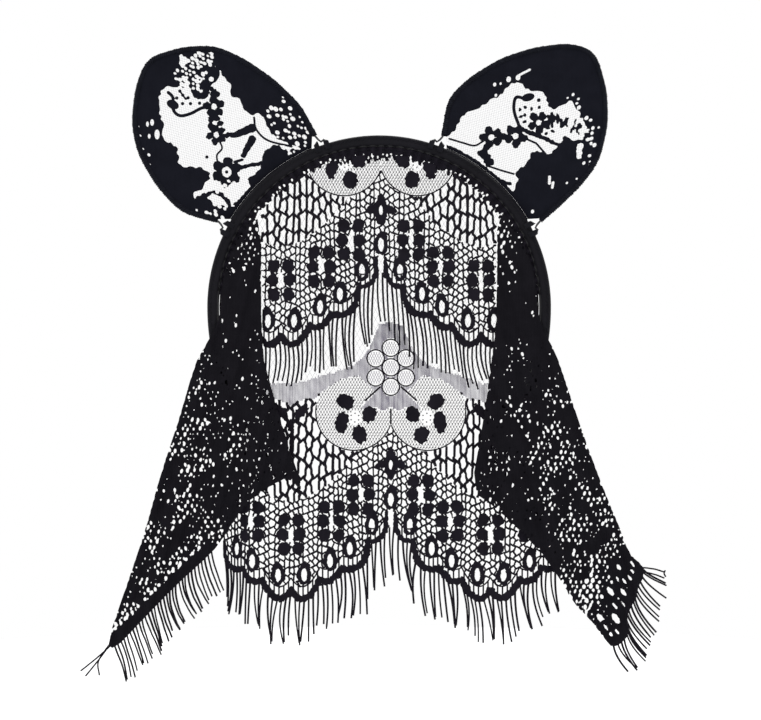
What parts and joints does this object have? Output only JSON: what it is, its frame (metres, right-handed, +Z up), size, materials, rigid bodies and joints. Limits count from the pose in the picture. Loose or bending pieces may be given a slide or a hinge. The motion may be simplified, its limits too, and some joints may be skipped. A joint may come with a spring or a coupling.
{
  "type": "animal ears headband",
  "caption": "Hoop headband with round wire-edged lace animal ears, a tiered lace face veil with eyelash fringe, and pleated lace drapes at the sides.",
  "frame": {"origin": "on the flat middle of the lining under the crown, at half the band's width: the point that rests on top of the head", "axes": "+Z up out of the head, +X towards the ear that someone facing the wearer sees on the right, -Y forwards out of the veil"},
  "size_m": [0.2465, 0.0144, 0.276],
  "materials": {
    "spring_plastic": "satin",
    "ribbon": "satin ribbon",
    "wire": "satin",
    "thread": "matte thread",
    "ear_lace": "matte lace",
    "veil_lace": "matte lace",
    "drape_lace": "matte lace"
  },
  "bodies": {
    "band": {"hoop_core": "spring_plastic", "hoop_cover": "ribbon", "band_lining": "ribbon", "end_cap_left": "ribbon", "end_cap_right": "ribbon", "veil_heading": "veil_lace", "heading_thread": "thread", "foot_lashing_inner_left": "thread", "foot_lashing_outer_left": "thread", "foot_lashing_inner_right": "thread", "foot_lashing_outer_right": "thread", "veil_yoke": "veil_lace", "tier_yoke": "veil_lace", "drape_pleat_left": "drape_lace", "drape_pleat_right": "drape_lace"},
    "ear_left": {"ear_wire_left": "wire", "ear_binding_left": "ear_lace", "ear_lace_left": "ear_lace"},
    "ear_right": {"ear_wire_right": "wire", "ear_binding_right": "ear_lace", "ear_lace_right": "ear_lace"},
    "tier": {"tier_flap": "veil_lace"},
    "veil": {"veil_skirt": "veil_lace", "drape_tail_left": "drape_lace", "drape_tail_right": "drape_lace"}
  },
  "joints": [
    {"name": "ear_tilt_left", "type": "hinge", "parent": "band", "child": "ear_left", "pos_m": [-0.04685, 0, -0.01571], "axis": [0.753, 0, 0.658], "range_deg": [-30, 30]},
    {"name": "ear_tilt_right", "type": "hinge", "parent": "band", "child": "ear_right", "pos_m": [0.04685, 0, -0.01571], "axis": [0.753, 0, -0.658], "range_deg": [-30, 30]},
    {"name": "tier_lift", "type": "hinge", "parent": "band", "child": "tier", "pos_m": [0, -0.0044, -0.026], "axis": [-1, 0, 0], "range_deg": [0, 75]},
    {"name": "veil_lift", "type": "hinge", "parent": "band", "child": "veil", "pos_m": [0, -0.0062, -0.1109], "axis": [-1, 0, 0], "range_deg": [-8, 80]}
  ]
}
